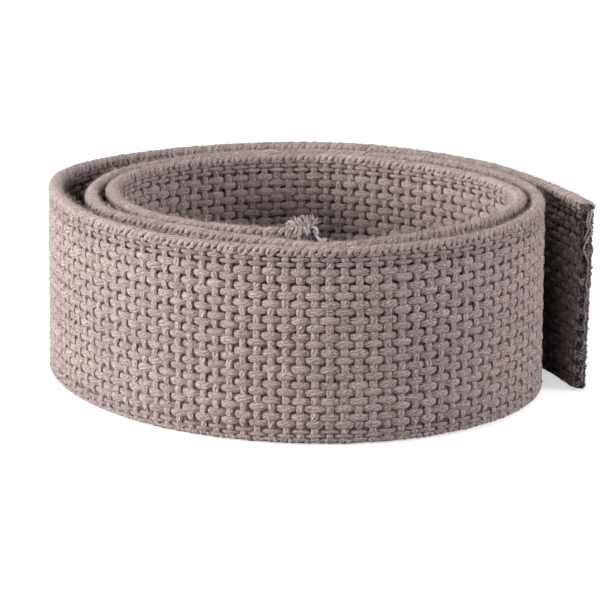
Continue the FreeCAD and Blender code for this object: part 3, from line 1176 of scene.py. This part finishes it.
@dataclass
class FrayedTuft(Chance):
    """The frayed yarns that stand on the inner end's top edge."""

    path: RollPath
    threads: LooseThreads
    rng: np.random.Generator
    top: float = WEBBING_WIDTH
    overhang: float = 1.1
    yarn_radius: float = 0.56
    brush_strands: int = 190
    drape_strands: int = 64
    navy_strands: int = 28

    def build(self, sheaf: Sheaf) -> None:
        """Add its curl, its brush and its strands.

        Args:
            sheaf: The mesh to add to, with the loose yarn first and the navy yarn second.
        """
        base = (self.path.length + self.overhang, 0.0, self.top)
        curl = ((-0.2, 0.6, -1.6), (-0.8, 0.9, -0.5), (-1.6, 1.0, 0.8), (-2.5, 0.8, 1.2), (-3.3, 0.4, 0.5),
                (-2.9, 0.2, -0.4), (-2.0, 0.5, -0.5), (-1.5, 1.0, 0.2), (-2.2, 1.3, 0.6), (-2.6, 1.4, 0.1))
        self.threads.bundle(sheaf, curl, base, self.yarn_radius, 6, 0.8, 56)
        knob = ((1.2, 0.8, -0.3), (2.0, 1.2, -0.1), (2.8, 1.4, 0.1), (3.4, 1.6, -0.5), (3.1, 1.9, -1.3),
                (2.5, 1.7, -1.2), (2.7, 1.5, -0.5))
        self.threads.bundle(sheaf, knob, base, self.yarn_radius, 6, 0.8, 40)
        strand = ((2.7, 1.4, -0.8), (3.5, 3.0, -1.6), (4.3, 6.0, -1.9), (4.8, 8.4, -1.4), (5.8, 11.4, -0.2))
        self.threads.bundle(sheaf, strand, base, 0.50, 6, 0.5, 30)
        left_strand = ((-0.6, 1.6, -0.6), (-1.2, 5.0, -0.9), (-2.6, 8.4, -0.5), (-4.2, 10.4, 0.1))
        self.threads.thread(sheaf, left_strand, base, 0.13, 0, 0.5, 0.2, 20)
        for _ in range(self.brush_strands):
            foot = self.even(-0.9, 1.5)
            tall = self.even(1.2, 3.3)
            lean = self.near(0.25, 0.75)
            spots = ((foot, self.even(0.0, 1.6), -1.6),
                     (foot + lean * 0.3, 0.8 + self.near(0, 0.3), 0.3),
                     (foot + lean, 0.7 + self.near(0, 0.4), tall * 0.6),
                     (foot + lean * 1.5, 0.6 + self.near(0, 0.5), tall))
            self.threads.thread(sheaf, spots, base, self.even(0.11, 0.27), 0, 0.4,
                                self.even(0.35, 0.85), 9)
        for _ in range(self.drape_strands):
            foot = self.even(-3.2, 2.0)
            down = self.even(1.2, 3.6)
            spots = ((foot * 0.6, self.even(0.0, 1.2), 0.4),
                     (foot * 0.8, 1.7 + self.near(0, 0.2), -0.1),
                     (foot, 2.3 + self.near(0, 0.3), -down * 0.6),
                     (foot + self.near(0, 0.4), 2.5 + self.near(0, 0.4), -down))
            self.threads.thread(sheaf, spots, base, self.even(0.18, 0.36), 0, 0.6,
                                self.even(-0.25, 0.15), 10)
        for _ in range(self.navy_strands):
            foot = self.near(1.6, 0.42)
            spots = ((foot, 2.0, -1.0), (foot, 2.9, -1.6),
                     (foot + self.near(0.1, 0.3), 3.3, self.even(-3.6, -2.6)))
            self.threads.thread(sheaf, spots, base, 0.15, 1, 0.6, -0.2, 8)


@dataclass
class SprungWeft:
    """The pale weft thread that has sprung out of the outer cut end near its top."""

    threads: LooseThreads
    top: float = 46.0

    def build(self, sheaf: Sheaf) -> None:
        """Add the thread and the short one that it left behind."""
        long_one = ((0.4, 1.0, 2.6), (-0.9, 0.7, 1.0), (-1.1, 0.1, -1.4), (-1.2, 0.8, -3.8),
                    (-1.3, -0.4, -6.2), (-1.4, -1.2, -8.2), (-1.3, -0.5, -10.0),
                    (-0.9, 0.5, -12.6), (-0.4, 0.7, -15.6))
        loop = ((0.2, 0.0, 1.6), (-1.0, -0.2, 0.6), (-1.2, -0.6, -1.2), (-1.3, -0.2, -3.2),
                (-1.1, -0.9, -5.2), (-0.2, -1.1, -6.4))
        tail = ((0.3, 0.9, -16.0), (-0.6, 0.3, -18.0), (-0.8, 0.6, -20.6), (-0.7, 0.1, -23.0),
                (0.3, 0.5, -25.2))
        threads = ((long_one, 0.23, 0.8, 0.15, 60), (loop, 0.19, 0.7, 0.05, 40), (tail, 0.17, 0.7, 0.05, 30))
        for spots, radius, taper, shade, points in threads:
            self.threads.thread(sheaf, spots, (0.0, 0.0, self.top), radius, 0, taper, shade, points)


# ---- the whole belt -----------------------------------------------------------------------------
@dataclass
class GaitBelt:
    """The rolled webbing, built span by span; each span on one body is tied to that body."""

    path: RollPath
    finishes: Finishes
    weave: Weave
    rope: EdgeRope
    core: StufferCore
    threads: LooseThreads
    rng: np.random.Generator
    tail_hinges: tuple = (138.0, 180.0, 225.0, 270.0)
    inner_hinges: tuple = (990.0, 1035.0)
    tail_reaches: tuple = (8.0, 12.0, 12.0, 12.0)
    inner_reaches: tuple = (12.0, 11.0)
    coil_margins: tuple = (20.0, 18.0)
    coil_spans: int = 7
    cord_stubs: tuple = (1.2, 0.5)

    def spans(self) -> list[Span]:
        """Cut the webbing into spans that each cross one hinge at most."""
        tail = ("tail_4", "tail_3", "tail_2", "tail_1", "coil")
        inner = ("coil", "inner_1", "inner_2")
        coil_start = self.column(self.path.distance_of(self.tail_hinges[-1]) + self.coil_margins[0])
        coil_end = self.column(self.path.distance_of(self.inner_hinges[0]) - self.coil_margins[1])
        cuts = self.halfway((OUTER_END_DIRECTION,) + self.tail_hinges) + [coil_start]
        spans = [Span("flap_end", 0, cuts[0], tail[:1])]
        for index, hinge in enumerate(self.tail_hinges):
            spans.append(Span(f"tail_bend_{4 - index}", cuts[index], cuts[index + 1], tail[index:index + 2],
                              hinge, self.tail_reaches[index]))
        marks = np.linspace(coil_start, coil_end, self.coil_spans + 1).astype(int)
        for index in range(self.coil_spans):
            spans.append(Span(f"roll_{index + 1}", int(marks[index]), int(marks[index + 1]), ("coil",)))
        cuts = [coil_end] + self.halfway(self.inner_hinges + (INNER_END_DIRECTION,))
        for index, hinge in enumerate(self.inner_hinges):
            spans.append(Span(f"inner_bend_{index + 1}", cuts[index], cuts[index + 1], inner[index:index + 2],
                              hinge, self.inner_reaches[index]))
        return spans + [Span("inner_tip", cuts[-1], self.weave.columns, inner[-1:])]

    def halfway(self, directions: tuple) -> list[int]:
        """The weft columns halfway between each direction and the next."""
        pairs = zip(directions, directions[1:])
        return [self.column(self.path.distance_of((first + last) / 2)) for first, last in pairs]

    def column(self, distance: float) -> int:
        """The weft column nearest to this distance."""
        return int(round(distance / self.weave.pitch))

    @staticmethod
    def layer_nodes(span: Span, layer: str) -> list[str]:
        """Names of the frame's pieces that one layer of a span stands for."""
        stretches = {"coil": ("coil_outer", "coil_middle", "coil_inner")}
        return [f"{name}_{layer}" for body in span.bodies for name in stretches.get(body, (body,))]

    def finish_piece(self, sheaf: Sheaf, span: Span, finishes: Sequence[str],
                     replaced: Sequence[str] = ()) -> None:
        """Build a piece, and tie it to the frame's body if its span rides only one.

        Args:
            sheaf: Its mesh.
            span: The span that it belongs to.
            finishes: Names of its materials.
            replaced: Names of the frame's pieces that it stands for.
        """
        piece = sheaf.build(self.finishes.pick(*finishes))
        if replaced:
            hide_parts(*replaced)
        span.attach(piece)
        LOG.info("%s: %d vertices, on %s", sheaf.name, len(piece.data.vertices), "/".join(span.bodies))

    def build_span(self, span: Span) -> None:
        """Build every layer of one span."""
        first, last = span.first * self.weave.pitch, span.last * self.weave.pitch
        for face, layer in ((Face.OUTER, "outer_ply"), (Face.INNER, "inner_ply")):
            sheaf = Sheaf(f"{span.name}_{layer}")
            self.weave.warps(sheaf, span, face)
            self.weave.wefts(sheaf, span, face)
            self.finish_piece(sheaf, span, ("taupe_warp", "taupe_weft"),
                              self.layer_nodes(span, layer))
        for edge, layer in ((Edge.BOTTOM, "bottom_selvedge"), (Edge.TOP, "top_selvedge")):
            sheaf = Sheaf(f"{span.name}_{layer}")
            self.rope.loops(sheaf, span, edge)
            self.finish_piece(sheaf, span, ("taupe_edge_loop",),
                              self.layer_nodes(span, layer))
        sheaf = Sheaf(f"{span.name}_stuffer_core")
        self.core.cords(sheaf, first, last)
        self.core.filling(sheaf, first, last, 1.0, self.weave.width - 1.0)
        self.finish_piece(sheaf, span, ("navy_stuffer", "shadowed_filling"),
                          self.layer_nodes(span, "core"))
        sheaf = Sheaf(f"{span.name}_nap")
        self.threads.nap(sheaf, first, last, self.weave.width)
        self.finish_piece(sheaf, span, ("cotton_nap",))

    def build_ends(self, flap: Span, tip: Span) -> None:
        """Build the two cut ends, the tuft and the sprung weft.

        Args:
            flap: The span at the outer cut end.
            tip: The span at the inner cut end.
        """
        heights = self.core.heights
        yarn_ends = [f"core_yarn_end_{index + 1:02d}" for index in range(len(heights))]
        for name, span, stub, replaced in (("outer_cut_end", flap, self.cord_stubs[0], yarn_ends),
                                           ("inner_cut_end", tip, self.cord_stubs[1], ())):
            end = CutEnd(self.path, self.weave, self.threads, self.rng, span is flap)
            sheaf = Sheaf(name)
            end.stubs(sheaf)
            end.packed_fibres(sheaf, heights)
            end.crimped_weft(sheaf, Face.OUTER, heights)
            end.crimped_weft(sheaf, Face.INNER, heights)
            self.finish_piece(sheaf, span, ("taupe_warp", "pale_loose_yarn", "brown_filling"))
            sheaf = Sheaf(f"{name}_cords")
            end.cord_ends(sheaf, heights, stub)
            self.finish_piece(sheaf, span, ("navy_stuffer", "painted_glint_fibre"), replaced)
        sheaf = Sheaf("frayed_yarns")
        FrayedTuft(self.path, self.threads, self.rng).build(sheaf)
        self.finish_piece(sheaf, tip, ("pale_loose_yarn", "navy_stuffer"), ("frayed_tuft",))
        sheaf = Sheaf("sprung_weft")
        SprungWeft(self.threads).build(sheaf)
        self.finish_piece(sheaf, flap, ("pale_loose_yarn",), ("loose_weft",))

    def build(self) -> None:
        """Build the belt."""
        spans = self.spans()
        for span in spans:
            self.build_span(span)
        self.build_ends(spans[0], spans[-1])

    def check_path(self) -> None:
        """Log how far the path is from the frame's own pieces."""
        frame_low, frame_high = ([round(value / MM, 3) for value in corner] for corner in cad_box)
        LOG.info("path outline %s %s, frame %s %s", *self.path.outline(), frame_low, frame_high)


# ---- studio -------------------------------------------------------------------------------------
@dataclass
class Studio:
    """Floor, light and camera."""

    camera_place: tuple = (-0.00445, -0.8520, 0.2453)
    pitch_down: float = 14.77
    view_angle: float = 10.13
    floor_radius: float = 6.0
    floor_height: float = -0.0002
    floor_corners: int = 96

    def floor(self) -> None:
        """Add the floor, a wide disc just under the belt."""
        count, height = self.floor_corners, self.floor_height
        turn = np.linspace(0.0, math.tau, count, endpoint=False)
        rim = [(math.cos(a) * self.floor_radius, math.sin(a) * self.floor_radius, height) for a in turn]
        mesh = bpy.data.meshes.new("studio_floor")
        wedges = [(0, 1 + i, 1 + (i + 1) % count) for i in range(count)]
        mesh.from_pydata([(0.0, 0.0, height)] + rim, [], wedges)
        mesh.materials.append(FloorFinish().build())
        floor = show("studio_floor", mesh)

    def area(self, name: str, place: tuple, aim: tuple, size: float, power: float, colour: tuple) -> None:
        """Add a soft light.

        Args:
            name: Its name.
            place: Where it is.
            aim: What it points at.
            size: Its side.
            power: Watts.
            colour: Its colour.
        """
        data = bpy.data.lights.new(name, "AREA")
        data.shape = "SQUARE"
        data.size = size
        data.energy = power
        data.color = colour
        light = show(name, data)
        light.location = place
        light.rotation_euler = (Vector(aim) - Vector(place)).to_track_quat("-Z", "Y").to_euler()

    def lights(self) -> None:
        """Add the soft studio light, stronger from the left."""
        self.area("left_key", (-1.15, -0.36, 0.19), (0.0, 0.0, 0.03), 0.80, 43.5, (1.0, 0.985, 0.97))
        self.area("right_fill", (1.15, -0.36, 0.19), (0.0, 0.0, 0.03), 0.8, 22.0, (1.0, 0.985, 1.0))
        self.area("top_soft", (-0.12, 0.00, 1.25), (0.0, 0.0, 0.0), 1.0, 7.4, (1.0, 1.0, 1.0))
        world = bpy.data.worlds.new("studio")
        world.use_nodes = True
        back = world.node_tree.nodes["Background"]
        back.inputs["Color"].default_value = WHITE
        back.inputs["Strength"].default_value = 0.008
        bpy.context.scene.world = world

    def camera(self) -> None:
        """Add the camera, low in front of the belt and far away."""
        data = bpy.data.cameras.new("camera")
        data.sensor_width = 36.0
        data.angle = math.radians(self.view_angle)
        data.clip_end = 50.0
        camera = show("camera", data)
        camera.location = self.camera_place
        camera.rotation_euler = (math.radians(90.0 - self.pitch_down), 0.0, 0.0)
        bpy.context.scene.camera = camera

    def build(self) -> None:
        """Add everything round the belt."""
        bpy.context.scene.view_settings.view_transform = "Standard"
        self.floor()
        self.lights()
        self.camera()


def main() -> None:
    """Build the belt and the studio, and note both boxes."""
    logging.basicConfig(level=logging.INFO, format="%(name)s: %(message)s")
    rng = np.random.default_rng(20)
    path = RollPath()
    finishes = Finishes()
    finishes.build()
    weave = Weave(path, rng)
    low = SELVEDGE + CORD_MARGIN + StufferCore.radius
    heights = np.linspace(low, weave.width - low, CORD_COUNT)
    threads = LooseThreads(path, rng)
    belt = GaitBelt(path, finishes, weave, EdgeRope(weave, rng), StufferCore(path, heights), threads, rng)
    belt.check_path()
    belt.build()
    Studio().build()


if __name__ == "__main__":
    main()
